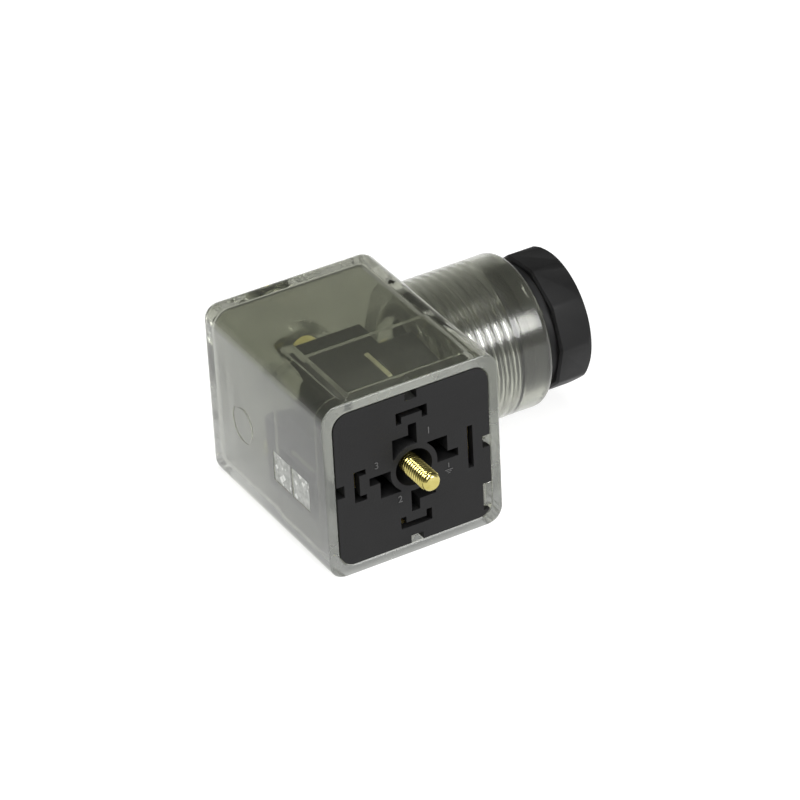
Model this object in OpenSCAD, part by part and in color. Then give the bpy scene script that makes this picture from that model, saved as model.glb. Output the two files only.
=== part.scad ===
// Angled cable socket for a solenoid valve coil, square pattern, contacts 18 mm apart.
// The origin is on the fixing screw's axis, in the contact face. That face looks along -Y,
// the housing reaches back along +Y, and the cable gland points along +X.
// Threads are drawn as plain running fits: bores at the crest, shanks at the root.

/* [Housing] */
// Width of the housing across X
housing_w = 27.5; // [26.5:0.5:36]
// Height of the housing across Z
housing_h = 27.5; // [26.5:0.5:36]
// Depth of the housing from the contact face to the back
housing_d = 34.8; // [32:0.2:60]
// Radius of the long edges and of the back edges
edge_r = 2.5; // [0.5:0.1:3.5]
// Wall around the insert at the rim
rim_wall = 1.5; // [1:0.1:1.8]
// Wall beside the middle of the insert
mid_wall = 1.8; // [1.5:0.1:2.2]
// Wall around the wiring space
back_side_wall = 2.2; // [1.8:0.1:2.4]
// Wall at the back of the wiring space
back_wall = 2.2; // [1.6:0.1:3]
// Depth of the shallow marks on the left wall
mark_depth = 0.12; // [0.05:0.01:0.4]

/* [Contact insert] */
// Thickness of the face plate
plate_t = 3.2; // [2.6:0.1:5]
// Depth of the insert's four arms, from the contact face
arm_end = 18.9; // [18:0.1:22]
// Depth of the screw tube, from the contact face
tube_end = 22.5; // [20:0.1:25]
// Radius of the screw tube
screw_tube_r = 4.4; // [3.8:0.1:5]
// Radius of the round opening in the face
face_hole_r = 2.85; // [2.2:0.05:3]
// Depth of the round opening in the face
face_hole_depth = 9; // [3:0.5:11]
// Gap between the insert and the housing
insert_gap = 0.15; // [0.1:0.01:0.3]

/* [Contacts] */
// Distance between opposite contacts
contact_spacing = 18; // [17.4:0.1:18.4]
// Thickness of the contact strip
strip_t = 0.5; // [0.3:0.05:0.5]
// Width of the contact strip
strip_w = 4.2; // [3:0.1:4.5]
// Length of the earth blade's slot
earth_slot_w = 6.8; // [6:0.1:7.2]
// Width of a blade's slot in the face
slot_w = 0.85; // [0.6:0.05:1]
// Thickness of the terminal tab
tab_t = 0.8; // [0.6:0.1:1.2]

/* [Wire clamps] */
// Radius of the clamp screw's thread
clamp_r = 1.5; // [1.2:0.05:1.7]
// Radius of the clamp screw's head
clamp_head_r = 2.3; // [1.9:0.05:2.4]
// Height of the clamp screw's head
clamp_head_t = 1.8; // [1.2:0.1:2.2]
// Length of the clamp screw under its head
clamp_len = 6; // [5:0.1:7]
// Open gap for the wire
wire_gap = 1.8; // [1:0.1:2.4]
// Thickness of the clamp plate
clamp_plate_t = 0.8; // [0.5:0.1:1.2]

/* [Fixing screw] */
// Radius of the fixing screw's thread
screw_r = 1.5; // [1:0.05:1.8]
// Length of the tip in front of the contact face
screw_out = 5; // [2:0.1:8]
// Length of the threaded end, from the tip
screw_thread = 5; // [4:0.5:25]
// Radius of the fixing screw's head
screw_head_r = 2.75; // [2.3:0.05:3.6]
// Height of the fixing screw's head
screw_head_t = 2; // [1.4:0.1:3]
// Radius of the washer and of the seal under the head
washer_r = 3.5; // [2.8:0.1:4]
// Thickness of the washer
washer_t = 0.5; // [0.3:0.05:1]
// Thickness of the seal
seal_t = 0.8; // [0.5:0.05:1.5]

/* [Cable gland] */
// Root radius of the gland's internal thread
gland_thread_r = 9.3; // [8:0.1:10.5]
// Depth of the gland's thread
gland_thread_h = 0.75; // [0.4:0.05:1]
// Wall of the gland tube outside the thread
tube_wall = 2.2; // [1.2:0.1:2.6]
// Length of the gland tube from the housing's side
gland_len = 16.25; // [14:0.25:24]
// Depth of the smooth mouth of the gland tube
mouth_depth = 4.2; // [2:0.1:6]
// Distance from the gland tube to the back face
gland_inset = 0.15; // [0:0.05:3]
// Width of the shoulder that the grommet seats on
shoulder_w = 1.55; // [0.8:0.05:2.5]
// Gap between the nut's head and the tube's rim
nut_gap = 1.8; // [1:0.1:3]
// Length of the nut's faceted head
nut_head_len = 5.5; // [4:0.1:9]
// Radius of the nut's head over its corners
nut_head_r = 10.3; // [9.8:0.1:13]
// Number of flats on the nut's head
nut_flats = 10; // [6:1:12]
// Radius of the nut's bore
nut_bore_r = 5; // [4.5:0.1:6]
// Radius of the grommet's bore
grommet_bore_r = 4.3; // [2:0.1:5]
// Length of the grommet
grommet_len = 4.6; // [3:0.1:6]
// Thickness of the thrust washer
thrust_t = 0.8; // [0.5:0.1:1.2]

/* [Hidden] */
$fn = 96;
eps = 0.02;

// Sides of the square: 0 top, 1 towards the gland, 2 bottom, 3 away from the gland
side_1 = 0;
side_earth = 1;
side_2 = 2;
side_3 = 3;

// Clearances
bore_gap = 0.2;
fit_gap = 0.05;
pocket_gap = 0.25;

// Insert, housing and the steps between them
plate_w = housing_w - 2 * (rim_wall + insert_gap);
plate_h = housing_h - 2 * (rim_wall + insert_gap);
plate_corner_r = 2.3;
step_y = plate_t + fit_gap;
room_y = 14.9;
room_end = housing_d - back_wall;
arm_side_a = 8;
arm_side_b = 5.5;
arm_rear_b = 3;
arm_step_y = 13.5;

// Edge notches of the face plate and the housing's nibs in them
notch_w = 1.9;
notch_depth = 1.2;
nib_w = 1.5;
nib_y0 = 0.3;
nib_y1 = 2.6;
pry_z0 = -11.1;
pry_z1 = -6.8;
pry_depth = 1.4;
guide_x0 = -9.75;
guide_x1 = -8.05;
guide_y0 = 1.8;
guide_y1 = 17.9;
guide_depth = 0.45;

// Contacts, in each side's own directions: t across, p outwards
contact_p = contact_spacing / 2;
slot_p0 = contact_p - slot_w / 2 - 0.05;
slot_p1 = contact_p + slot_w / 2 - 0.05;
slot_half = 2.45;
slot_return_p = contact_p - 1.5;
face_t = 1.3;
cavity_p0 = contact_p - 1.6;
cavity_p1 = contact_p + 1.15;
cavity_end = 10.2;
window_t = -0.3;
window_w = 0.9;
window_y0 = 5.6;
window_y1 = 12.8;
contact_y0 = 2;
leaf_out_p = contact_p + 0.45;
leaf_in_p = contact_p - 1.1;
leaf_in_half = 1.4;
earth_leaf_half = earth_slot_w / 2 - 0.3;
key_arm_half = 0.65;
key_arm_p0 = 5.35;
key_arm_p1 = 7;
key_t1 = 3.2;
key_disc_r = 3.7;
key_p0 = 2.2;
key_depth = 5;

// Wire clamps
clamp_t = 4.3;
clamp_p = contact_p - 0.95;
pocket_t0 = clamp_t - clamp_head_r - pocket_gap;
pocket_t1 = clamp_t + clamp_head_r + pocket_gap + 0.35;
pocket_p0 = clamp_p - clamp_head_r - pocket_gap;
pocket_p1 = clamp_p + clamp_head_r + pocket_gap;
pocket_y = 12;
tab_y = 16.6;
tab_side = clamp_head_r + 0.3;
collar_t = 2.2;
collar_r = clamp_r + 0.8;
plate_y = tab_y + tab_t + wire_gap;
clamp_plate_w = 2 * clamp_head_r;
lip_t = 0.5;
lip_h = 0.5;
slot_cut_w = 0.8;
slot_cut_depth = 1;

// Fixing screw and its seat in the back wall
seat_r = washer_r + 1;
seat_depth = screw_head_t + washer_t + seal_t + 0.2;
boss_r = seat_r + 1.7;
boss_wall = 2.3;
seat_y = housing_d - seat_depth;
boss_y = seat_y - boss_wall;
neck_r = screw_r - 0.25;
chamfer = 0.5;

// Cable gland, along X
side_x = housing_w / 2;
crest_r = gland_thread_r - gland_thread_h;
passage_r = crest_r - shoulder_w;
tube_r = gland_thread_r + tube_wall;
gland_y = housing_d - tube_r - gland_inset;
rim_x = side_x + gland_len;
seat_x = side_x + 0.45;
mouth_x = rim_x - mouth_depth;
mouth_r = gland_thread_r + 0.15;
tube_round = 1;
nut_travel_in = nut_gap - bore_gap;
thrust_bore_r = nut_bore_r + 0.3;
nut_shank_r = gland_thread_r - 0.1;
nut_thread_r = crest_r - fit_gap;
nut_head_x = rim_x + nut_gap;
nut_shank_x = mouth_x + nut_gap;
thrust_x = seat_x + grommet_len + nut_travel_in + 0.15;
nut_x = thrust_x + thrust_t + fit_gap;
nut_end_x = nut_head_x + nut_head_len;
nut_angle = 14;
grommet_r = crest_r - insert_gap;

// A solid drawn in the XZ plane and pushed back along +Y
module along_y(y0, len) {
    translate([0, y0, 0])
        rotate([-90, 0, 0])
            linear_extrude(len)
                mirror([0, 1])
                    children();
}

// A round bar along the gland's axis
module along_gland(x0, x1, r) {
    translate([x0, gland_y, 0])
        rotate([0, 90, 0])
            cylinder(r = r, h = x1 - x0);
}

// A round bar along the fixing screw's axis
module along_screw(y0, y1, r) {
    along_y(y0, y1 - y0)
        circle(r);
}

module rounded_rect(w, h, r) {
    square([w - 2 * r, h], center = true);
    square([w, h - 2 * r], center = true);
    for (x = [-1, 1], y = [-1, 1])
        translate([x * (w / 2 - r), y * (h / 2 - r)])
            circle(r);
}

// Turns what is drawn for the top side to one of the four sides
module on_side(k) {
    rotate([0, 90 * k, 0])
        children();
}

// A box on the top side: t runs to -X, p runs to +Z
module side_box(t0, t1, p0, p1, y0, y1) {
    translate([-t1, y0, p0])
        cube([t1 - t0, y1 - y0, p1 - p0]);
}

// Half of the housing, measured towards side k
function half(k) = (k % 2 == 0 ? housing_h : housing_w) / 2;

// ---------- Housing ----------

module housing_block() {
    intersection() {
        along_y(0, housing_d)
            rounded_rect(housing_w, housing_h, edge_r);
        translate([-housing_w, 0, 0])
            rotate([90, 0, 90])
                linear_extrude(2 * housing_w)
                    rounded_rect(2 * housing_d, housing_h, edge_r);
        translate([0, 0, -housing_h])
            linear_extrude(2 * housing_h)
                rounded_rect(housing_w, 2 * housing_d, edge_r);
    }
}

module gland_tube() {
    translate([0, gland_y, 0])
        rotate([0, 90, 0])
            rotate_extrude()
                union() {
                    square([tube_r - tube_round, rim_x]);
                    square([tube_r, rim_x - tube_round]);
                    translate([tube_r - tube_round, rim_x - tube_round])
                        circle(tube_round, $fn = 48);
                }
}

module room(wall, y0, y1, r) {
    along_y(y0, y1 - y0)
        rounded_rect(housing_w - 2 * wall, housing_h - 2 * wall, r);
}

module guide_groove() {
    groove_w = guide_x1 - guide_x0;
    top = housing_h / 2 - rim_wall + guide_depth;
    translate([guide_x0, guide_y0 + groove_w / 2, 0])
        cube([groove_w, guide_y1 - guide_y0 - groove_w / 2, top]);
    translate([guide_x0 + groove_w / 2, guide_y0 + groove_w / 2, 0])
        cylinder(r = groove_w / 2, h = top);
}

// Two square pads and a ring, sunk a little into the left wall
module wall_marks() {
    pad = 4.8;
    pad_y = 4.9;
    pad_z = -5;
    ring_y = 23.4;
    ring_z = -0.6;
    for (i = [0, 1])
        translate([-side_x - 1, pad_y + i * (pad + 0.4), pad_z])
            cube([1 + mark_depth, pad, pad]);
    translate([-side_x - 1, ring_y, ring_z])
        rotate([0, 90, 0])
            difference() {
                cylinder(r = 3, h = 1 + mark_depth);
                cylinder(r = 2.5, h = 1 + mark_depth);
            }
}

module housing_shell() {
    difference() {
        union() {
            housing_block();
            intersection() {
                gland_tube();
                translate([0, gland_y - 2 * tube_r, -2 * tube_r])
                    cube([2 * rim_x, 4 * tube_r, 4 * tube_r]);
            }
        }
        room(rim_wall, -1, step_y, plate_corner_r + insert_gap);
        room(mid_wall, step_y - 1, room_y, 1.6);
        room(back_side_wall, room_y - 1, room_end, 1.4);
        guide_groove();
        along_gland(housing_w / 2 - back_side_wall - 1, seat_x + 1, passage_r);
        along_gland(seat_x, rim_x + 1, crest_r);
        along_gland(mouth_x, rim_x + 1, mouth_r);
        wall_marks();
    }
}

// Nibs in the plate's notches on the gland side and below, and the pry lug
module housing_nibs() {
    nib_top = notch_depth - insert_gap;
    for (k = [1, 2])
        on_side(k)
            side_box(-nib_w / 2, nib_w / 2, half(k) - rim_wall - nib_top,
                half(k) - rim_wall + eps, nib_y0, nib_y1);
    translate([half(1) - rim_wall - pry_depth + insert_gap, nib_y0, pry_z0 + insert_gap])
        cube([pry_depth - insert_gap + eps, nib_y1 - nib_y0, pry_z1 - pry_z0 - 2 * insert_gap]);
}

module housing() {
    color([0.62, 0.64, 0.58, 0.5])
        difference() {
            union() {
                housing_shell();
                housing_nibs();
                along_screw(boss_y, room_end + eps, boss_r);
            }
            along_screw(seat_y, housing_d + 1, seat_r);
            along_screw(boss_y - 1, seat_y + 1, screw_r + bore_gap);
        }
}

// ---------- Contact insert ----------

module carrier_plate() {
    along_y(0, plate_t)
        difference() {
            rounded_rect(plate_w, plate_h, plate_corner_r);
            for (k = [0:3])
                rotate(-90 * k)
                    translate([-notch_w / 2, half(k) - rim_wall - insert_gap - notch_depth])
                        square([notch_w, 2 * notch_depth]);
            translate([plate_w / 2 - pry_depth, pry_z0])
                square([2 * pry_depth, pry_z1 - pry_z0]);
        }
}

module carrier_arms() {
    reach_gap = rim_wall + notch_depth + fit_gap;
    for (k = [0:3])
        on_side(k) {
            side_box(-arm_side_b, arm_side_a, 0, half(k) - reach_gap, plate_t - eps, arm_step_y);
            side_box(-arm_rear_b, arm_side_a, 0, half(k) - reach_gap, arm_step_y - eps, arm_end);
        }
}

// Face slots and the room behind them for one contact
module blade_slot(k) {
    on_side(k) {
        if (k == side_earth) {
            side_box(-earth_slot_w / 2, earth_slot_w / 2, slot_p0, slot_p1, -1, face_t + eps);
            side_box(-earth_slot_w / 2, earth_slot_w / 2, cavity_p0, cavity_p1, face_t, cavity_end);
        } else {
            side_box(-slot_half, slot_half, slot_p0, slot_p1, -1, face_t + eps);
            for (t = [-slot_half, slot_half - slot_w])
                side_box(t, t + slot_w, slot_return_p, slot_p1, -1, face_t + eps);
            side_box(-slot_half, slot_half, cavity_p0, cavity_p1, face_t, cavity_end);
        }
    }
}

// The keyed recess beside the middle
module key_recess(k) {
    on_side(k) {
        side_box(-key_arm_half, key_arm_half, key_arm_p0 - eps, key_arm_p1, -1, key_depth);
        difference() {
            side_box(-key_arm_half, key_t1, key_p0, key_arm_p0, -1, key_depth);
            along_screw(-2, key_depth + 1, key_disc_r);
        }
    }
}

// The narrow window over the strip, in the arm's outer wall
module strip_window(k) {
    on_side(k)
        side_box(window_t - window_w / 2, window_t + window_w / 2, leaf_out_p + strip_t,
            half(k), window_y0, window_y1);
}

// Room for the strip, the tab, the collar and the clamp
module clamp_pocket(k) {
    strip_half = strip_w / 2 + 0.1;
    on_side(k) {
        side_box(-strip_half, strip_half, leaf_out_p - 0.1, leaf_out_p + strip_t + 0.1,
            cavity_end - 1, arm_end + 1);
        side_box(pocket_t0, pocket_t1, pocket_p0, pocket_p1, pocket_y, arm_end + 1);
        side_box(-strip_half, pocket_t1, pocket_p0, pocket_p1, tab_y, arm_end + 1);
    }
}

module contact_carrier() {
    color([0.1, 0.1, 0.1])
        difference() {
            union() {
                carrier_plate();
                carrier_arms();
                along_screw(arm_end - 1, tube_end, screw_tube_r);
            }
            for (k = [0:3]) {
                blade_slot(k);
                key_recess(k);
                strip_window(k);
                clamp_pocket(k);
            }
            along_screw(-1, face_hole_depth, face_hole_r);
            along_screw(face_hole_depth - 1, tube_end + 1, screw_r + bore_gap);
        }
}

// ---------- Contacts and wire clamps ----------

module terminal(k) {
    out_half = k == side_earth ? earth_leaf_half : strip_w / 2;
    base_y = cavity_end - strip_t - 0.1;
    color([0.78, 0.62, 0.28])
        on_side(k)
            difference() {
                union() {
                    side_box(-out_half, out_half, leaf_out_p, leaf_out_p + strip_t,
                        contact_y0, base_y + strip_t);
                    side_box(-leaf_in_half, leaf_in_half, leaf_in_p, leaf_in_p + strip_t,
                        contact_y0, base_y + strip_t);
                    side_box(-leaf_in_half, leaf_in_half, leaf_in_p, leaf_out_p + strip_t,
                        base_y, base_y + strip_t);
                    side_box(-strip_w / 2, strip_w / 2, leaf_out_p, leaf_out_p + strip_t,
                        base_y, tab_y + tab_t);
                    side_box(-strip_w / 2, clamp_t + tab_side, clamp_p - clamp_head_r,
                        clamp_p + clamp_head_r, tab_y, tab_y + tab_t);
                    translate([-clamp_t, 0, clamp_p])
                        along_screw(tab_y - collar_t, tab_y + eps, collar_r);
                }
                translate([-clamp_t, 0, clamp_p])
                    along_screw(tab_y - collar_t - 1, tab_y + tab_t + 1, clamp_r + fit_gap);
            }
}

module clamp_plate(k) {
    color([0.75, 0.75, 0.72])
        on_side(k)
            difference() {
                union() {
                    side_box(clamp_t - clamp_plate_w / 2, clamp_t + clamp_plate_w / 2,
                        clamp_p - clamp_plate_w / 2, clamp_p + clamp_plate_w / 2,
                        plate_y, plate_y + clamp_plate_t);
                    side_box(clamp_t - clamp_plate_w / 2, clamp_t - clamp_plate_w / 2 + lip_t,
                        clamp_p - clamp_plate_w / 2, clamp_p + clamp_plate_w / 2,
                        plate_y - lip_h, plate_y + eps);
                }
                translate([-clamp_t, 0, clamp_p])
                    along_screw(plate_y - 1, plate_y + clamp_plate_t + 1, clamp_r + 0.1);
            }
}

module slotted_screw(under_y, len, r, head_r, head_t) {
    difference() {
        union() {
            along_screw(under_y - len + chamfer, under_y + eps, r);
            translate([0, under_y - len, 0])
                rotate([-90, 0, 0])
                    cylinder(r1 = r - chamfer * 0.8, r2 = r, h = chamfer);
            along_screw(under_y, under_y + head_t, head_r);
        }
        translate([-head_r - 1, under_y + head_t - slot_cut_depth, -slot_cut_w / 2])
            cube([2 * head_r + 2, slot_cut_depth + 1, slot_cut_w]);
    }
}

module clamp_screw(k) {
    color([0.72, 0.72, 0.7])
        on_side(k)
            translate([-clamp_t, 0, clamp_p])
                slotted_screw(plate_y + clamp_plate_t + fit_gap, clamp_len, clamp_r,
                    clamp_head_r, clamp_head_t);
}

// ---------- Fixing screw ----------

module screw_seal() {
    color([0.15, 0.15, 0.15])
        difference() {
            along_screw(seat_y, seat_y + seal_t, washer_r);
            along_screw(seat_y - 1, seat_y + seal_t + 1, screw_r + 0.1);
        }
}

module screw_washer() {
    washer_y = seat_y + seal_t;
    color([0.75, 0.75, 0.72])
        difference() {
            along_screw(washer_y, washer_y + washer_t, washer_r);
            along_screw(washer_y - 1, washer_y + washer_t + 1, screw_r + 0.1);
        }
}

module fixing_screw() {
    head_y = seat_y + seal_t + washer_t + fit_gap;
    neck_y = screw_thread - screw_out;
    color([0.8, 0.66, 0.3])
        difference() {
            slotted_screw(head_y, head_y + screw_out, screw_r, screw_head_r, screw_head_t);
            difference() {
                along_screw(neck_y, head_y - 1, screw_r + 1);
                along_screw(neck_y - 1, head_y, neck_r);
            }
        }
}

// ---------- Cable gland ----------

module gland_nut() {
    color([0.1, 0.1, 0.1])
        difference() {
            union() {
                along_gland(nut_x, nut_shank_x + eps, nut_thread_r);
                along_gland(nut_shank_x, nut_head_x + eps, nut_shank_r);
                intersection() {
                    translate([nut_head_x, gland_y, 0])
                        rotate([0, 90, 0])
                            rotate([0, 0, nut_angle])
                                cylinder(r = nut_head_r, h = nut_head_len, $fn = nut_flats);
                    translate([nut_head_x - 1, gland_y, 0])
                        rotate([0, 90, 0])
                            cylinder(r1 = nut_head_r + 1 + nut_head_len - chamfer,
                                r2 = nut_head_r - chamfer, h = nut_head_len + 1);
                }
            }
            along_gland(nut_x - 1, nut_end_x + 1, nut_bore_r);
            translate([nut_end_x - 1, gland_y, 0])
                rotate([0, 90, 0])
                    cylinder(r1 = nut_bore_r, r2 = nut_bore_r + 2, h = 2);
        }
}

module thrust_washer() {
    color([0.2, 0.2, 0.2])
        difference() {
            along_gland(thrust_x, thrust_x + thrust_t, grommet_r);
            along_gland(thrust_x - 1, thrust_x + thrust_t + 1, thrust_bore_r);
        }
}

module cable_grommet() {
    color([0.12, 0.12, 0.12])
        difference() {
            along_gland(seat_x, seat_x + grommet_len, grommet_r);
            along_gland(seat_x - 1, seat_x + grommet_len + 1, grommet_bore_r);
        }
}

housing();
contact_carrier();
terminal(side_1);  // terminal_1
terminal(side_2);  // terminal_2
terminal(side_3);  // terminal_3
terminal(side_earth);  // terminal_earth
clamp_plate(side_1);  // clamp_plate_1
clamp_plate(side_2);  // clamp_plate_2
clamp_plate(side_3);  // clamp_plate_3
clamp_plate(side_earth);  // clamp_plate_earth
clamp_screw(side_1);  // clamp_screw_1
clamp_screw(side_2);  // clamp_screw_2
clamp_screw(side_3);  // clamp_screw_3
clamp_screw(side_earth);  // clamp_screw_earth
fixing_screw();
screw_washer();
screw_seal();
gland_nut();
thrust_washer();
cable_grommet();
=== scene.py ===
import math

import bmesh
import bpy
from mathutils import Matrix, Vector


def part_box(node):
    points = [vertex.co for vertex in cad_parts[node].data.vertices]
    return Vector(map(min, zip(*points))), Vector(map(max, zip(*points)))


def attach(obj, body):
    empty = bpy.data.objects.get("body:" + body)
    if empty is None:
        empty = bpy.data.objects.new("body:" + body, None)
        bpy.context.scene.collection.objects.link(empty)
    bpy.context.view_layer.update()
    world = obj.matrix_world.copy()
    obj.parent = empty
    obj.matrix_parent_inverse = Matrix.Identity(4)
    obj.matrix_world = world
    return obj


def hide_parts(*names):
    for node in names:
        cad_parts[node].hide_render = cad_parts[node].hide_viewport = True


# Cable socket of a solenoid valve: the frame's CAD solids get threads, moulded edges, marks and
# materials. The clear housing is rebuilt here, because its threads and edges bend what is behind it.

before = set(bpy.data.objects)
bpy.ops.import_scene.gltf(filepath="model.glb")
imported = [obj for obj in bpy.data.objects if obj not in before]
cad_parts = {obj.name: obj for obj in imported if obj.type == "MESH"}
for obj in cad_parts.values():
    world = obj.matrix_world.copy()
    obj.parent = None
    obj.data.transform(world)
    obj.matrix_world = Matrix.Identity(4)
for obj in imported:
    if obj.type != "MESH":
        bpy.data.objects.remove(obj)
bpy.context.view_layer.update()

# ---------- Sizes, in millimetres; MM turns them into metres ----------

MM = 0.001


def box_mm(node):
    low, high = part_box(node)
    return Vector(low) / MM, Vector(high) / MM


housing_low, housing_high = box_mm("housing")
nut_low, nut_high = box_mm("gland_nut")
grommet_low, grommet_high = box_mm("cable_grommet")
screw_low, screw_high = box_mm("fixing_screw")
seal_low, washer_high = box_mm("screw_seal")[0], box_mm("screw_washer")[1]

# Housing
SIDE = -housing_low.x
TOP = housing_high.z
DEPTH = housing_high.y
EDGE_R = 2.5
FRONT_EDGE_R = 0.3
RIM_WALL = 1.5
MID_WALL = 1.8
ROOM_WALL = 2.2
BACK_WALL = 2.2
STEP_Y = 3.25
ROOM_Y = 14.9

# Recess for the fixing screw's head, and the boss round it
SEAT_R = 4.5
SEAT_Y = seal_low.y
BOSS_R = 6.2
BOSS_Y = SEAT_Y - 2.3
SCREW_HOLE_R = 1.7

# Nibs and lug inside the rim: where they start and end along Y
NIB_Y = (0.3, 2.6)
LUG_DEPTH = 1.25
LUG_Z = (-10.95, -6.95)

# Marks sunk into the left wall: two square pads and a ring
MARK_DEPTH = 0.12
PAD_Y = 4.9
PAD_PITCH = 5.2
PAD_SIZE = 4.8
PAD_Z = -5.0
RING_MARK_Y = 23.4
RING_MARK_Z = -0.6
RING_MARK_R = (2.5, 3.0)

# Cable gland, along X
GLAND_Y = (grommet_low.y + grommet_high.y) / 2
RIM_X = housing_high.x
TUBE_R = 11.5
TUBE_EDGE_R = 1.1
TUBE_FILLET = 0.12
RIPPLE = 0.05
CREST_R = 8.55
ROOT_R = 9.25
MOUTH_R = 9.45
MOUTH_X = RIM_X - 4.2
PASSAGE_R = 7.0
GLAND_PITCH = 25.4 / 18
NUT_HEAD_X = RIM_X + 1.8
NUT_FLATS = 10
NUT_ANGLE = -4.0
NUT_HEAD_R = 10.3
NUT_BORE_R = 5.0

# M3 screws, along Y
M3_R = 1.5
SCREW_PITCH = 0.5
SLOT_WIDTH = 0.8
SLOT_DEPTH = 1.0

# Rib of each contact strip, in the window of the insert's arm
RIB_X = 0.3
RIB_Y = (5.9, 12.5)
RIB_FROM = 9.9
RIB_HEIGHT = 1.1
RIB_HALF_W = 0.36

CONTACTS = ("1", "earth", "2", "3")


# ---------- Mesh helpers ----------

AXES = {
    "x": (Vector((1, 0, 0)), Vector((0, 1, 0)), Vector((0, 0, 1))),
    "y": (Vector((0, 1, 0)), Vector((0, 0, 1)), Vector((1, 0, 0))),
}


def bridge(bm, first, second):
    count = len(first)
    for i in range(count):
        j = (i + 1) % count
        bm.faces.new((first[i], first[j], second[j], second[i]))


def mesh_from_rings(name, rings, hollow=False):
    """A closed mesh through rings of points in mm. A hollow one joins the last ring to the first."""
    bm = bmesh.new()
    loops = [[bm.verts.new(Vector(p) * MM) for p in ring] for ring in rings]
    for first, second in zip(loops, loops[1:]):
        bridge(bm, first, second)
    if hollow:
        bridge(bm, loops[-1], loops[0])
    else:
        bm.faces.new(list(reversed(loops[0])))
        bm.faces.new(loops[-1])
    bmesh.ops.recalc_face_normals(bm, faces=bm.faces)
    mesh = bpy.data.meshes.new(name)
    bm.to_mesh(mesh)
    bm.free()
    return mesh


def rounded_rect(half_w, half_h, radius):
    """Points round a rectangle with round corners, in its own plane."""
    points, per_corner = [], 9
    for corner, (sx, sy) in enumerate(((1, 1), (-1, 1), (-1, -1), (1, -1))):
        cx, cy = sx * (half_w - radius), sy * (half_h - radius)
        for i in range(per_corner):
            a = math.radians(90 * (corner + i / (per_corner - 1)))
            points.append((cx + radius * math.cos(a), cy + radius * math.sin(a)))
    return points


def loft_back(name, stations):
    """A solid along +Y through rounded rectangles: (y, half width, half height, corner radius)."""
    rings = [[(x, y, z) for x, z in rounded_rect(w, h, r)] for y, w, h, r in stations]
    return mesh_from_rings(name, rings)


def thread_wave(turns):
    """0 at the root and 1 at the crest of a rounded thread."""
    return 0.5 - 0.5 * math.cos(2 * math.pi * turns)


def turned(name, profile, axis="y", centre=(0, 0, 0), steps=64, pitch=None, hollow=False):
    """A turned solid. The profile is (place along the axis, radius[, thread height]), in mm."""
    along, across, up = AXES[axis]
    centre = Vector(centre)
    rings = []
    for place, radius, *thread in profile:
        height = thread[0] if thread else 0
        ring = []
        for i in range(steps):
            a = 2 * math.pi * i / steps
            r = radius
            if height:
                r += height * thread_wave(place / pitch - i / steps)
            ring.append(centre + along * place + (across * math.cos(a) + up * math.sin(a)) * r)
        rings.append(ring)
    return mesh_from_rings(name, rings, hollow)


def thread_profile(start, end, root, height, pitch):
    """Profile stations of a thread that fades in and out over half a turn."""
    per_turn, no_height = 16, 1e-4
    count = round((end - start) / pitch * per_turn)
    stations = []
    for i in range(count + 1):
        place = start + (end - start) * i / count
        fade = min(1, (place - start) / (0.5 * pitch), (end - place) / (0.5 * pitch))
        stations.append((place, root, max(height * fade, no_height)))
    return stations


def quarter(steps):
    """The angles of a quarter turn."""
    return [math.radians(90 * i / steps) for i in range(steps + 1)]


def box_mesh(name, low, high, bevel=0):
    """A box in mm, with its edges rounded where a bevel is given."""
    bm = bmesh.new()
    bmesh.ops.create_cube(bm, size=1)
    low, high = Vector(low), Vector(high)
    for v in bm.verts:
        v.co = Vector([low[i] + (high[i] - low[i]) * (v.co[i] + 0.5) for i in range(3)]) * MM
    if bevel:
        bmesh.ops.bevel(bm, geom=bm.edges[:], offset=bevel * MM, segments=3, profile=0.5, affect="EDGES")
    mesh = bpy.data.meshes.new(name)
    bm.to_mesh(mesh)
    bm.free()
    return mesh


def link(name, mesh):
    obj = bpy.data.objects.new(name, mesh)
    bpy.context.scene.collection.objects.link(obj)
    return obj


def boolean(obj, tool_mesh, operation):
    """Adds or cuts the tool's mesh and drops the tool."""
    tool = link(tool_mesh.name + "_tool", tool_mesh)
    modifier = obj.modifiers.new("boolean", "BOOLEAN")
    modifier.operation = operation
    modifier.solver = "EXACT"
    modifier.object = tool
    graph = bpy.context.evaluated_depsgraph_get()
    result = bpy.data.meshes.new_from_object(obj.evaluated_get(graph))
    obj.modifiers.clear()
    obj.data = result
    bpy.data.objects.remove(tool)


def smooth(obj):
    """Shades a piece smooth, apart from its sharp edges."""
    for polygon in obj.data.polygons:
        polygon.use_smooth = True
    obj.data.set_sharp_from_angle(angle=math.radians(32))


def finish_piece(obj, material, body, replaces=()):
    """Gives a piece its material and body, shades it smooth, and hides the CAD nodes it stands for."""
    obj.data.materials.clear()
    obj.data.materials.append(material)
    smooth(obj)
    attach(obj, body)
    if replaces:
        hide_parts(*replaces)
    return obj


# ---------- Material helpers ----------


def new_material(name):
    material = bpy.data.materials.new(name)
    material.use_nodes = True
    nodes = material.node_tree.nodes
    return material, nodes, material.node_tree.links, nodes["Principled BSDF"]


def noise(nodes, links, scale, detail=4.0):
    coords = nodes.new("ShaderNodeTexCoord")
    texture = nodes.new("ShaderNodeTexNoise")
    texture.inputs["Scale"].default_value = scale
    texture.inputs["Detail"].default_value = detail
    texture.inputs["Roughness"].default_value = 0.55
    links.new(coords.outputs["Object"], texture.inputs["Vector"])
    return texture.outputs["Fac"]


def ramp(nodes, links, source, low, high, start=0.3, end=0.7):
    """The source's values between start and end, spread between two colours."""
    node = nodes.new("ShaderNodeValToRGB")
    node.color_ramp.elements[0].position = start
    node.color_ramp.elements[0].color = (*low, 1)
    node.color_ramp.elements[1].position = end
    node.color_ramp.elements[1].color = (*high, 1)
    links.new(source, node.inputs["Fac"])
    return node.outputs["Color"]


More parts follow.
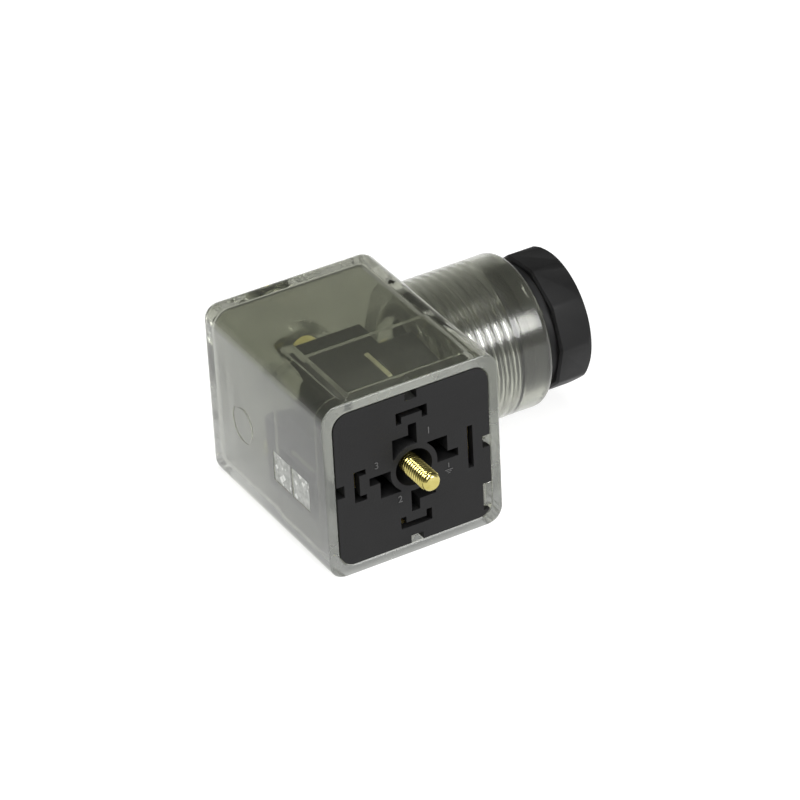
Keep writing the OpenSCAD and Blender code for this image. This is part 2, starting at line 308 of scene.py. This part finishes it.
def spread(nodes, links, source, low, high, source_low=0.3, source_high=0.7):
    """Part of the source's range, spread between two numbers."""
    node = nodes.new("ShaderNodeMapRange")
    node.inputs["From Min"].default_value = source_low
    node.inputs["From Max"].default_value = source_high
    node.inputs["To Min"].default_value = low
    node.inputs["To Max"].default_value = high
    links.new(source, node.inputs["Value"])
    return node.outputs["Result"]


def bump(nodes, links, shader, height, strength, distance=0.0001):
    """Relief from a height source. The distance is in metres."""
    node = nodes.new("ShaderNodeBump")
    node.inputs["Strength"].default_value = strength
    node.inputs["Distance"].default_value = distance
    links.new(height, node.inputs["Height"])
    links.new(node.outputs["Normal"], shader.inputs["Normal"])


def let_lamps_through(nodes, links, shader, tint):
    """Lamp light goes straight through the plastic, dimmed a little by its tint at each surface."""
    dimming = 0.2
    path = nodes.new("ShaderNodeLightPath")
    see_through = nodes.new("ShaderNodeBsdfTransparent")
    see_through.inputs["Color"].default_value = (*(c ** dimming for c in tint), 1)
    mix = nodes.new("ShaderNodeMixShader")
    links.new(path.outputs["Is Shadow Ray"], mix.inputs["Fac"])
    links.new(shader.outputs["BSDF"], mix.inputs[1])
    links.new(see_through.outputs["BSDF"], mix.inputs[2])
    links.new(mix.outputs["Shader"], nodes["Material Output"].inputs["Surface"])


def clear_plastic(name, rough_low, rough_high, tint, haze, grain, grain_scale=1400):
    """Smoke-tinted polycarbonate with faint flow marks. Haze is the share of light it scatters."""
    material, nodes, links, shader = new_material(name)
    flow = noise(nodes, links, 160)
    fine = noise(nodes, links, grain_scale, 3)
    low = tuple(0.94 * c for c in tint)
    links.new(ramp(nodes, links, flow, low, tint), shader.inputs["Base Color"])
    links.new(spread(nodes, links, flow, rough_low, rough_high), shader.inputs["Roughness"])
    shader.inputs["Transmission Weight"].default_value = 1 - haze
    shader.inputs["IOR"].default_value = 1.585
    bump(nodes, links, shader, fine, grain)
    let_lamps_through(nodes, links, shader, tint)
    return material


def worn_print(name):
    """A frosted pad with a worn whitish print, and no readable text."""
    material, nodes, links, shader = new_material(name)
    coords = nodes.new("ShaderNodeTexCoord")
    cells = nodes.new("ShaderNodeTexVoronoi")
    cells.distance = "MANHATTAN"
    cells.inputs["Scale"].default_value = 800
    links.new(coords.outputs["Object"], cells.inputs["Vector"])
    print_white, print_grey, bare = (0.85, 0.86, 0.83), (0.3, 0.31, 0.29), (0.7, 0.71, 0.68)
    strokes = ramp(nodes, links, cells.outputs["Distance"], print_white, print_grey, 0.42, 0.55)
    worn = noise(nodes, links, 1500, 5)
    mix = nodes.new("ShaderNodeMix")
    mix.data_type = "RGBA"
    mix.inputs["A"].default_value = (*bare, 1)
    links.new(spread(nodes, links, worn, 0.35, 1.0), mix.inputs["Factor"])
    links.new(strokes, mix.inputs["B"])
    links.new(mix.outputs["Result"], shader.inputs["Base Color"])
    links.new(spread(nodes, links, worn, 0.5, 0.75), shader.inputs["Roughness"])
    shader.inputs["Transmission Weight"].default_value = 0.15
    bump(nodes, links, shader, worn, 0.15)
    return material


def moulded_plastic(name, dark, light, rough_low, rough_high, grain_scale, grain):
    """Opaque moulded plastic with a fine grain and slightly uneven gloss."""
    material, nodes, links, shader = new_material(name)
    cloud = noise(nodes, links, 220)
    fine = noise(nodes, links, grain_scale, 6)
    links.new(ramp(nodes, links, cloud, dark, light), shader.inputs["Base Color"])
    links.new(spread(nodes, links, cloud, rough_low, rough_high), shader.inputs["Roughness"])
    shader.inputs["IOR"].default_value = 1.5
    shader.inputs["Specular IOR Level"].default_value = 0.22
    bump(nodes, links, shader, fine, grain)
    return material


def metal(name, dark, light, rough_low, rough_high, metallic=1.0):
    """Metal with a faintly uneven, finely scratched surface. A dull film on it lowers metallic."""
    material, nodes, links, shader = new_material(name)
    cloud = noise(nodes, links, 500)
    fine = noise(nodes, links, 6000, 5)
    links.new(ramp(nodes, links, cloud, dark, light), shader.inputs["Base Color"])
    links.new(spread(nodes, links, cloud, rough_low, rough_high), shader.inputs["Roughness"])
    shader.inputs["Metallic"].default_value = metallic
    bump(nodes, links, shader, fine, 0.08, 0.00004)
    return material


# ---------- Materials ----------

HOUSING_TINT = (0.39, 0.4, 0.335)
clear = clear_plastic("clear_housing_polycarbonate", 0.03, 0.07, HOUSING_TINT, 0.03, 0.01)
frosted = clear_plastic("frosted_housing_wall", 0.14, 0.22, (0.3, 0.31, 0.29), 0.12, 0.04, 900)
rim = clear_plastic("front_rim", 0.2, 0.3, (0.24, 0.25, 0.23), 0.26, 0.04, 900)
tube_wall = clear_plastic("gland_tube_skin", 0.16, 0.23, HOUSING_TINT, 0.03, 0.02, 700)
label = worn_print("worn_label_print")
CLEAR, FROSTED, LABEL, RIM, TUBE = range(5)
housing_materials = (clear, frosted, label, rim, tube_wall)
insert_black = moulded_plastic(
    "insert_black_polyamide", (0.006, 0.006, 0.0062), (0.01, 0.01, 0.0104), 0.45, 0.6, 3200, 0.25
)
nut_black = moulded_plastic(
    "nut_black_polyamide", (0.004, 0.004, 0.0042), (0.007, 0.007, 0.0073), 0.46, 0.6, 2600, 0.12
)
mark_grey = moulded_plastic(
    "raised_mark_edges", (0.05, 0.05, 0.05), (0.11, 0.11, 0.11), 0.35, 0.5, 3200, 0.2
)
rubber = moulded_plastic(
    "grommet_rubber", (0.012, 0.012, 0.012), (0.022, 0.022, 0.022), 0.6, 0.8, 2000, 0.5
)
screw_brass = metal("fixing_screw_brass", (0.46, 0.4, 0.12), (0.64, 0.56, 0.22), 0.14, 0.26)
contact_brass = metal("contact_strip_brass", (0.72, 0.56, 0.2), (0.88, 0.7, 0.3), 0.36, 0.5, 0.6)
# Paler, whiter brass than the strip it belongs to: real brass plus a painted highlight, the bright streak
# along each rib.
rib_brass_painted_highlight = metal("contact_rib_brass_painted_highlight", (0.62, 0.6, 0.4), (0.8, 0.78, 0.55), 0.36, 0.5, 0.6)
clamp_brass = metal("clamp_screw_passivate", (0.7, 0.6, 0.2), (0.9, 0.8, 0.35), 0.34, 0.48, 0.5)
plated = metal("zinc_plated_steel", (0.6, 0.6, 0.58), (0.76, 0.76, 0.74), 0.22, 0.4)


# ---------- Housing ----------


def housing_block():
    """The block's outside, with round long edges, a round back and a crisp front."""
    least_corner = 0.03
    stations = []
    for a in quarter(4):
        inset = FRONT_EDGE_R * (1 - math.sin(a))
        y = FRONT_EDGE_R * (1 - math.cos(a))
        stations.append((y, SIDE - inset, TOP - inset, EDGE_R - inset))
    for a in quarter(8):
        inset = EDGE_R * (1 - math.cos(a))
        y = DEPTH - EDGE_R + EDGE_R * math.sin(a)
        stations.append((y, SIDE - inset, TOP - inset, max(EDGE_R - inset, least_corner)))
    return loft_back("housing_clear", stations)


def room():
    """The space inside: recess for the face plate, insert room, wiring room."""
    chamfer, fillet, least_corner = 0.12, 1.2, 0.2
    rim = (SIDE - RIM_WALL, TOP - RIM_WALL, 2.45)
    mid = (SIDE - MID_WALL, TOP - MID_WALL, 1.6)
    back = (SIDE - ROOM_WALL, TOP - ROOM_WALL, 1.4)
    end = DEPTH - BACK_WALL
    stations = [
        (-1, rim[0] + chamfer, rim[1] + chamfer, rim[2] + chamfer),
        (0, rim[0] + chamfer, rim[1] + chamfer, rim[2] + chamfer),
        (chamfer, *rim),
        (STEP_Y, *rim),
        (STEP_Y, *mid),
        (ROOM_Y, *mid),
        (ROOM_Y, *back),
    ]
    for a in quarter(5):
        inset = fillet * (1 - math.cos(a))
        y = end - fillet + fillet * math.sin(a)
        stations.append((y, back[0] - inset, back[1] - inset, max(back[2] - inset, least_corner)))
    return loft_back("room", stations)


def gland_tube():
    """The tube's outside, with the faint ripple that its moulded thread leaves there."""
    embedded, foot_r = 1.2, TUBE_R + TUBE_FILLET
    profile = [(SIDE - embedded, foot_r), (SIDE, foot_r)]
    for a in quarter(4)[1:]:
        along, out = 1 - math.cos(a), 1 - math.sin(a)
        profile.append((SIDE + TUBE_FILLET * along, TUBE_R + TUBE_FILLET * out))
    ripple_x, step = SIDE + 2 * TUBE_FILLET, GLAND_PITCH / 10
    for i in range(round((MOUTH_X - ripple_x) / step)):
        place = ripple_x + i * step
        wave = 1 - math.cos(2 * math.pi * (place - ripple_x) / GLAND_PITCH)
        profile.append((place, TUBE_R - 0.5 * RIPPLE * wave))
    for a in quarter(6):
        place = RIM_X - TUBE_EDGE_R + TUBE_EDGE_R * math.sin(a)
        profile.append((place, TUBE_R - TUBE_EDGE_R + TUBE_EDGE_R * math.cos(a)))
    return turned("tube", profile, "x", (0, GLAND_Y, 0), 96)


def gland_bore():
    """The cable's passage, the grommet's shoulder, the gland's thread and the plain mouth."""
    shoulder_x = grommet_low.x
    profile = [(SIDE - ROOM_WALL - 1, PASSAGE_R), (shoulder_x, PASSAGE_R), (shoulder_x, CREST_R)]
    profile += thread_profile(shoulder_x + 0.2, MOUTH_X - 0.1, CREST_R, ROOT_R - CREST_R, GLAND_PITCH)
    profile += [(MOUTH_X, CREST_R), (MOUTH_X, MOUTH_R), (RIM_X - 0.25, MOUTH_R), (RIM_X, MOUTH_R + 0.25)]
    profile.append((RIM_X + 1, MOUTH_R + 0.25))
    return turned("bore", profile, "x", (0, GLAND_Y, 0), 96, GLAND_PITCH)


def guide_groove():
    """A groove with a round front end, inside the top wall."""
    x, half_w, y0, y1 = -8.9, 0.85, 1.8, 17.9
    low, high = TOP - RIM_WALL - 1.2, TOP - RIM_WALL + 0.45
    outline = [(x + half_w, y1), (x - half_w, y1)]
    for i in range(9):
        a = math.pi * (1 + i / 8)
        outline.append((x + half_w * math.cos(a), y0 + half_w + half_w * math.sin(a)))
    return mesh_from_rings("groove", [[(px, py, z) for px, py in outline] for z in (low, high)])


def nib(name, turn):
    """A small round-topped nib inside the rim, turned from the top side to another."""
    low, high, half_w, tip_r = SIDE - RIM_WALL - 1.05, SIDE - RIM_WALL + 0.3, 0.75, 0.3
    outline = [(half_w, high), (half_w, low + half_w)]
    for i in range(7):
        a = math.pi * i / 6
        outline.append((tip_r * math.cos(a), low + tip_r * (1 - math.sin(a))))
    outline += [(-half_w, low + half_w), (-half_w, high)]
    a = math.radians(turn)
    rings = []
    for y in NIB_Y:
        rings.append([
            (t * math.cos(a) + p * math.sin(a), y, p * math.cos(a) - t * math.sin(a)) for t, p in outline
        ])
    return mesh_from_rings(name, rings)


def add_screw_seat(obj):
    """The boss at the back, with the recess for the screw's head and the hole for the screw."""
    edge, past = 0.3, 1
    boss = [(BOSS_Y, BOSS_R - 0.4), (BOSS_Y + 0.4, BOSS_R), (DEPTH - past, BOSS_R)]
    boolean(obj, turned("boss", boss), "UNION")
    seat = [(SEAT_Y, SEAT_R), (DEPTH - edge, SEAT_R), (DEPTH, SEAT_R + edge), (DEPTH + past, SEAT_R + edge)]
    boolean(obj, turned("seat", seat), "DIFFERENCE")
    hole = [(BOSS_Y - past, SCREW_HOLE_R), (SEAT_Y + past, SCREW_HOLE_R)]
    boolean(obj, turned("hole", hole), "DIFFERENCE")


def add_rim_details(obj):
    """Two nibs and a lug that reach into the face plate's notches."""
    inner, embedded = SIDE - RIM_WALL, 0.3
    boolean(obj, nib("nib_side", 90), "UNION")
    boolean(obj, nib("nib_below", 180), "UNION")
    low = (inner - LUG_DEPTH, NIB_Y[0], LUG_Z[0])
    high = (inner + embedded, NIB_Y[1], LUG_Z[1])
    boolean(obj, box_mesh("lug", low, high, 0.3), "UNION")


def sink_wall_marks(obj):
    """Two label pads and a ring mark in the left wall."""
    outside, floor = -SIDE - 1, -SIDE + MARK_DEPTH
    for index in (0, 1):
        y = PAD_Y + index * PAD_PITCH
        pad = box_mesh("pad", (outside, y, PAD_Z), (floor, y + PAD_SIZE, PAD_Z + PAD_SIZE))
        boolean(obj, pad, "DIFFERENCE")
    ring = ring_profile(outside, floor, *RING_MARK_R, 0.05)
    centre = (0, RING_MARK_Y, RING_MARK_Z)
    boolean(obj, turned("ring", ring, "x", centre, 48, hollow=True), "DIFFERENCE")


def housing_finish(point, normal):
    """Which of the housing's materials a face has, from its middle in mm and its normal."""
    if normal.x < -0.98 and point.x < -(SIDE - 0.2):
        on_pad = point.x > -(SIDE - 0.05) and point.y < PAD_Y + 2 * PAD_PITCH + 1
        return LABEL if on_pad else FROSTED
    if point.y < FRONT_EDGE_R + 0.02 and normal.y < -0.2:
        return RIM
    outside_tube = math.hypot(point.y - GLAND_Y, point.z) > MOUTH_R + 0.3
    if point.x > SIDE + 0.1 and outside_tube:
        return TUBE
    return CLEAR


def make_housing():
    obj = link("housing_clear", housing_block())
    boolean(obj, gland_tube(), "UNION")
    boolean(obj, room(), "DIFFERENCE")
    boolean(obj, gland_bore(), "DIFFERENCE")
    boolean(obj, guide_groove(), "DIFFERENCE")
    add_screw_seat(obj)
    add_rim_details(obj)
    sink_wall_marks(obj)
    finish_piece(obj, clear, "housing", ("housing",))
    for material in housing_materials[1:]:
        obj.data.materials.append(material)
    for polygon in obj.data.polygons:
        polygon.material_index = housing_finish(polygon.center / MM, polygon.normal)


# ---------- Turned pieces ----------


def cut_slot(obj, x, z, top):
    """A screwdriver slot, right across a screw's head."""
    past = 4
    low = (x - past, top - SLOT_DEPTH, z - SLOT_WIDTH / 2)
    high = (x + past, top + 1, z + SLOT_WIDTH / 2)
    boolean(obj, box_mesh("slot", low, high), "DIFFERENCE")


def screw_profile(tip, thread_end, under, top, neck_r, head_r, depth):
    """Tip, thread, neck and head of a slotted M3 screw along +Y. Under is the head's underside."""
    root, edge = M3_R - depth, 0.35
    profile = [(tip, root - 0.35), (tip + 0.15, root - 0.15), (tip + 0.4, root)]
    profile += thread_profile(tip + 0.45, thread_end, root, depth, SCREW_PITCH)
    profile += [(thread_end + 0.05, neck_r), (under, neck_r), (under, head_r - 0.12), (under + 0.12, head_r)]
    for a in quarter(4):
        profile.append((top - edge + edge * math.sin(a), head_r - edge + edge * math.cos(a)))
    return profile


def make_fixing_screw():
    tip, top = screw_low.y, screw_high.y
    thread_end, under, neck_r = 2.0, washer_high.y + 0.05, 1.25
    profile = screw_profile(tip, thread_end, under, top, neck_r, screw_high.x, 0.14)
    obj = link("fixing_screw_threaded", turned("fixing_screw", profile, steps=48, pitch=SCREW_PITCH))
    cut_slot(obj, 0, 0, top)
    finish_piece(obj, screw_brass, "fixing_screw", ("fixing_screw",))


def make_clamp_screw(name):
    node = "clamp_screw_" + name
    low, high = box_mm(node)
    x, z = (low.x + high.x) / 2, (low.z + high.z) / 2
    head_r, head_height, neck_r, neck_len = (high.x - low.x) / 2, 1.8, 1.3, 0.6
    under = high.y - head_height
    profile = screw_profile(low.y, under - neck_len, under, high.y, neck_r, head_r, 0.3)
    obj = link(node + "_threaded", turned(node, profile, "y", (x, 0, z), 40, SCREW_PITCH))
    cut_slot(obj, x, z, high.y)
    finish_piece(obj, clamp_brass, node, (node,))


def polygon_ring(place, radius):
    """A regular outline with softened corners, across the gland's axis."""
    ring = []
    step, corner, corner_drop = 360 / NUT_FLATS, 2, 0.996
    for i in range(NUT_FLATS):
        for side in (-1, 0, 1):
            a = math.radians(NUT_ANGLE + step * i + side * corner)
            r = radius if side == 0 else radius * corner_drop
            ring.append((place, GLAND_Y + r * math.cos(a), r * math.sin(a)))
    return ring


def make_nut_shank():
    """The threaded part of the gland nut, and its plain neck in the tube's mouth."""
    neck_r, crest_r, depth, tip = MOUTH_R - 0.25, CREST_R - 0.05, 0.35, 0.3
    thread_end, overlap_x = MOUTH_X + 1.8, NUT_HEAD_X + 0.3
    profile = [(nut_low.x, NUT_BORE_R), (nut_low.x, CREST_R - depth), (nut_low.x + tip, crest_r)]
    profile += thread_profile(nut_low.x + tip, thread_end, crest_r, depth, GLAND_PITCH)
    profile += [(thread_end, neck_r), (overlap_x, neck_r), (overlap_x, NUT_BORE_R)]
    shank = turned("gland_nut_shank", profile, "x", (0, GLAND_Y, 0), 96, GLAND_PITCH, hollow=True)
    obj = link("gland_nut_shank", shank)
    finish_piece(obj, nut_black, "gland_nut", ("gland_nut",))


def make_nut_head():
    """The faceted head, rounded off by a turned end, with a countersunk bore."""
    end, start, edge = nut_high.x, NUT_HEAD_X - 1, 0.35
    head = link("gland_nut_head", mesh_from_rings("gland_nut_head", [
        polygon_ring(NUT_HEAD_X, NUT_HEAD_R - edge),
        polygon_ring(NUT_HEAD_X + 0.3, NUT_HEAD_R),
        polygon_ring(end, NUT_HEAD_R),
    ]))
    cone = [(start, 11), (end - 1.2, NUT_HEAD_R + 0.1), (end - 0.45, 10.1), (end - 0.2, 9.85)]
    cone += [(end - 0.06, 9.6), (end, 9.3)]
    boolean(head, turned("nut_cone", cone, "x", (0, GLAND_Y, 0), 120), "INTERSECT")
    bore = [(start, NUT_BORE_R), (end - 1, NUT_BORE_R), (end, NUT_BORE_R + 1), (end + 1, NUT_BORE_R + 1.5)]
    boolean(head, turned("nut_bore", bore, "x", (0, GLAND_Y, 0), 64), "DIFFERENCE")
    finish_piece(head, nut_black, "gland_nut")


def ring_profile(low, high, inner, outer, edge):
    """A closed profile of a ring with rounded edges."""
    return [
        (low, inner + edge), (low, outer - edge), (low + edge, outer), (high - edge, outer),
        (high, outer - edge), (high, inner + edge), (high - edge, inner), (low + edge, inner),
    ]


def make_ring(name, node, axis, inner, edge, material, body):
    """A ring in place of a CAD node, which gives its outer radius and its ends."""
    low, high = box_mm(node)
    index = 0 if axis == "x" else 1
    centre = (0, GLAND_Y, 0) if axis == "x" else (0, 0, 0)
    profile = ring_profile(low[index], high[index], inner, high.z, edge)
    obj = link(name, turned(name, profile, axis, centre, 64, hollow=True))
    finish_piece(obj, material, body, (node,))


def make_rings():
    make_ring("grommet_ring", "cable_grommet", "x", 4.3, 0.5, rubber, "housing")
    make_ring("thrust_ring", "thrust_washer", "x", 5.3, 0.15, nut_black, "gland_slider")
    make_ring("seal_ring", "screw_seal", "y", 1.6, 0.3, rubber, "screw_slider")
    make_ring("washer_ring", "screw_washer", "y", 1.6, 0.12, plated, "screw_slider")


# ---------- CAD nodes that stay ----------


def dress(node, material, bevel):
    """A CAD node keeps its shape and gets rounded edges and a material."""
    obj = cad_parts[node]
    for index in range(len(obj.material_slots)):
        obj.material_slots[index].link = "OBJECT"
        obj.material_slots[index].material = material
    weld = obj.modifiers.new("weld", "WELD")
    weld.merge_threshold = 0.000002
    edges = obj.modifiers.new("edges", "BEVEL")
    edges.width = bevel * MM
    edges.segments = 2
    edges.limit_method = "ANGLE"
    edges.angle_limit = math.radians(40)
    edges.use_clamp_overlap = True


def make_ribs():
    """Each contact strip's rib, which stands in the window of the insert's arm, in pale brass with a painted
    highlight.
    """
    for turns, name in enumerate(CONTACTS):
        rib = "terminal_" + name + "_rib"
        low = (RIB_X - RIB_HALF_W, RIB_Y[0], RIB_FROM)
        high = (RIB_X + RIB_HALF_W, RIB_Y[1], RIB_FROM + RIB_HEIGHT)
        mesh = box_mesh(rib, low, high, 0.15)
        mesh.transform(Matrix.Rotation(math.radians(90 * turns), 4, "Y"))
        finish_piece(link(rib, mesh), rib_brass_painted_highlight, "insert")


def dress_nodes():
    dress("contact_carrier", insert_black, 0.08)
    for name in CONTACTS:
        dress("terminal_" + name, contact_brass, 0.06)
        dress("clamp_plate_" + name, plated, 0.08)


# ---------- Small marks ----------


def make_numeral(text, x, z):
    """A small raised contact number on the face."""
    size, half_height, lift = 1.5, 0.04, 0.03
    curve = bpy.data.curves.new("numeral_" + text, "FONT")
    curve.body = text
    curve.size = size * MM
    curve.extrude = half_height * MM
    curve.align_x = "CENTER"
    curve.align_y = "CENTER"
    holder = link("numeral_holder", curve)
    graph = bpy.context.evaluated_depsgraph_get()
    mesh = bpy.data.meshes.new_from_object(holder.evaluated_get(graph))
    bpy.data.objects.remove(holder)
    place = Matrix.Translation((x * MM, -lift * MM, z * MM))
    mesh.transform(place @ Matrix.Rotation(math.pi / 2, 4, "X"))
    obj = link("contact_number_" + text, mesh)
    finish_piece(obj, mark_grey, "insert")


def make_earth_sign(x, z):
    """The earth sign: a stem over three bars, each as half width, height and place along Z."""
    lift, sunk = 0.07, 0.02
    bars = [(0.07, 0.75, 0.35), (0.6, 0.1, -0.05), (0.4, 0.1, -0.3), (0.2, 0.1, -0.55)]
    for index, (half_w, height, up) in enumerate(bars):
        low = (x - half_w, -lift, z + up)
        high = (x + half_w, sunk, z + up + height)
        obj = link(f"earth_sign_{index}", box_mesh(f"earth_sign_{index}", low, high, 0.02))
        finish_piece(obj, mark_grey, "insert")


def make_marks():
    make_numeral("1", 2.5, 5.0)
    make_numeral("3", -5.8, 2.3)
    make_numeral("2", -2.4, -4.4)
    make_earth_sign(5.4, -2.4)


# ---------- Floor, lights, camera ----------


FLOOR_HALF = 0.9
FLOOR_GLOW = 0.8
FLOOR_GLOW_UNDER = 0.3


def math_node(nodes, links, operation, first, second=None):
    """A Math node on an output and an output or a number."""
    node = nodes.new("ShaderNodeMath")
    node.operation = operation
    links.new(first, node.inputs[0])
    if isinstance(second, float):
        node.inputs[1].default_value = second
    elif second is not None:
        links.new(second, node.inputs[1])
    return node.outputs["Value"]


def floor_glow(nodes, links):
    """The floor's glow, which is weaker in the shade right under the housing."""
    coords = nodes.new("ShaderNodeTexCoord")
    split = nodes.new("ShaderNodeSeparateXYZ")
    links.new(coords.outputs["Object"], split.inputs["Vector"])
    outside = []
    for axis, low, high in (("X", -SIDE, SIDE), ("Y", 0, DEPTH)):
        middle, half = (low + high) / 2 * MM, (high - low) / 2 * MM
        offset = math_node(nodes, links, "SUBTRACT", split.outputs[axis], middle)
        distance = math_node(nodes, links, "ABSOLUTE", offset)
        outside.append(math_node(nodes, links, "SUBTRACT", distance, half))
    past_edge = math_node(nodes, links, "MAXIMUM", *outside)
    return spread(nodes, links, past_edge, FLOOR_GLOW_UNDER, FLOOR_GLOW, -3.0 * MM, 0.3 * MM)


def make_floor():
    half = FLOOR_HALF
    bm = bmesh.new()
    corners = [(-half, -half), (half, -half), (half, half), (-half, half)]
    bm.faces.new([bm.verts.new((x, y, housing_low.z * MM)) for x, y in corners])
    mesh = bpy.data.meshes.new("floor")
    bm.to_mesh(mesh)
    bm.free()
    obj = link("floor", mesh)
    material, nodes, links, shader = new_material("floor_pale")
    paper = noise(nodes, links, 60, 6)
    tone = ramp(nodes, links, paper, (0.29, 0.29, 0.29), (0.32, 0.32, 0.32))
    links.new(tone, shader.inputs["Base Color"])
    shader.inputs["Emission Color"].default_value = (1, 1, 1, 1)
    links.new(floor_glow(nodes, links), shader.inputs["Emission Strength"])
    shader.inputs["Roughness"].default_value = 0.9
    obj.data.materials.append(material)


def area_light(name, place, size, power):
    """A square lamp that faces the part: place and size in metres, power in watts."""
    target = (0.01, 0.015, 0)
    data = bpy.data.lights.new(name, "AREA")
    data.size = size
    data.energy = power
    obj = bpy.data.objects.new(name, data)
    obj.location = place
    obj.rotation_euler = (Vector(target) - Vector(place)).to_track_quat("-Z", "Y").to_euler()
    bpy.context.scene.collection.objects.link(obj)


def make_world():
    """A studio that is dark overhead and paler towards the horizon."""
    world = bpy.data.worlds.new("studio")
    world.use_nodes = True
    nodes, links = world.node_tree.nodes, world.node_tree.links
    coords = nodes.new("ShaderNodeTexCoord")
    split = nodes.new("ShaderNodeSeparateXYZ")
    links.new(coords.outputs["Generated"], split.inputs["Vector"])
    horizon, overhead = (0.55, 0.55, 0.55), (0.13, 0.13, 0.12)
    tone = ramp(nodes, links, split.outputs["Z"], horizon, overhead, 0.0, 0.45)
    links.new(tone, nodes["Background"].inputs["Color"])
    bpy.context.scene.world = world


def make_lights():
    area_light("key_light", (-0.35, -0.35, 0.6), 0.3, 2.8)
    area_light("window_light", (0.25, -0.44, 0.33), 0.26, 2.4)
    area_light("top_light", (-0.02, -0.05, 0.6), 0.14, 2.5)


CAMERA_PLACE = (-0.2443, -0.4410, 0.3293)
CAMERA_ANGLES = (-28.823, 32.278, -3.067)
CAMERA_LENS = 199.4


def make_camera():
    """The view: position in metres, and the way it looks, from azimuth, elevation and roll."""
    azimuth, elevation, roll = (math.radians(a) for a in CAMERA_ANGLES)
    back = Vector((
        math.sin(azimuth) * math.cos(elevation), -math.cos(azimuth) * math.cos(elevation), math.sin(elevation)
    ))
    right = (-back).cross(Vector((0, 0, 1))).normalized()
    up = right.cross(-back)
    rolled_right = math.cos(roll) * right + math.sin(roll) * up
    rolled_up = -math.sin(roll) * right + math.cos(roll) * up
    data = bpy.data.cameras.new("camera")
    data.lens = CAMERA_LENS
    data.sensor_width = 36
    data.clip_start = 0.01
    camera = bpy.data.objects.new("camera", data)
    turn = Matrix((rolled_right, rolled_up, back)).transposed()
    camera.matrix_world = Matrix.Translation(Vector(CAMERA_PLACE)) @ turn.to_4x4()
    bpy.context.scene.collection.objects.link(camera)
    bpy.context.scene.camera = camera


make_housing()
make_fixing_screw()
for contact in sorted(CONTACTS):
    make_clamp_screw(contact)
make_nut_shank()
make_nut_head()
make_rings()
make_ribs()
dress_nodes()
make_marks()
make_floor()
make_world()
make_lights()
make_camera()
bpy.context.scene.view_settings.view_transform = "Standard"

# Light crosses many clear surfaces, and each inner reflection counts as a bounce
bpy.context.scene.cycles.max_bounces = 24
bpy.context.scene.cycles.transmission_bounces = 20
bpy.context.scene.cycles.glossy_bounces = 20
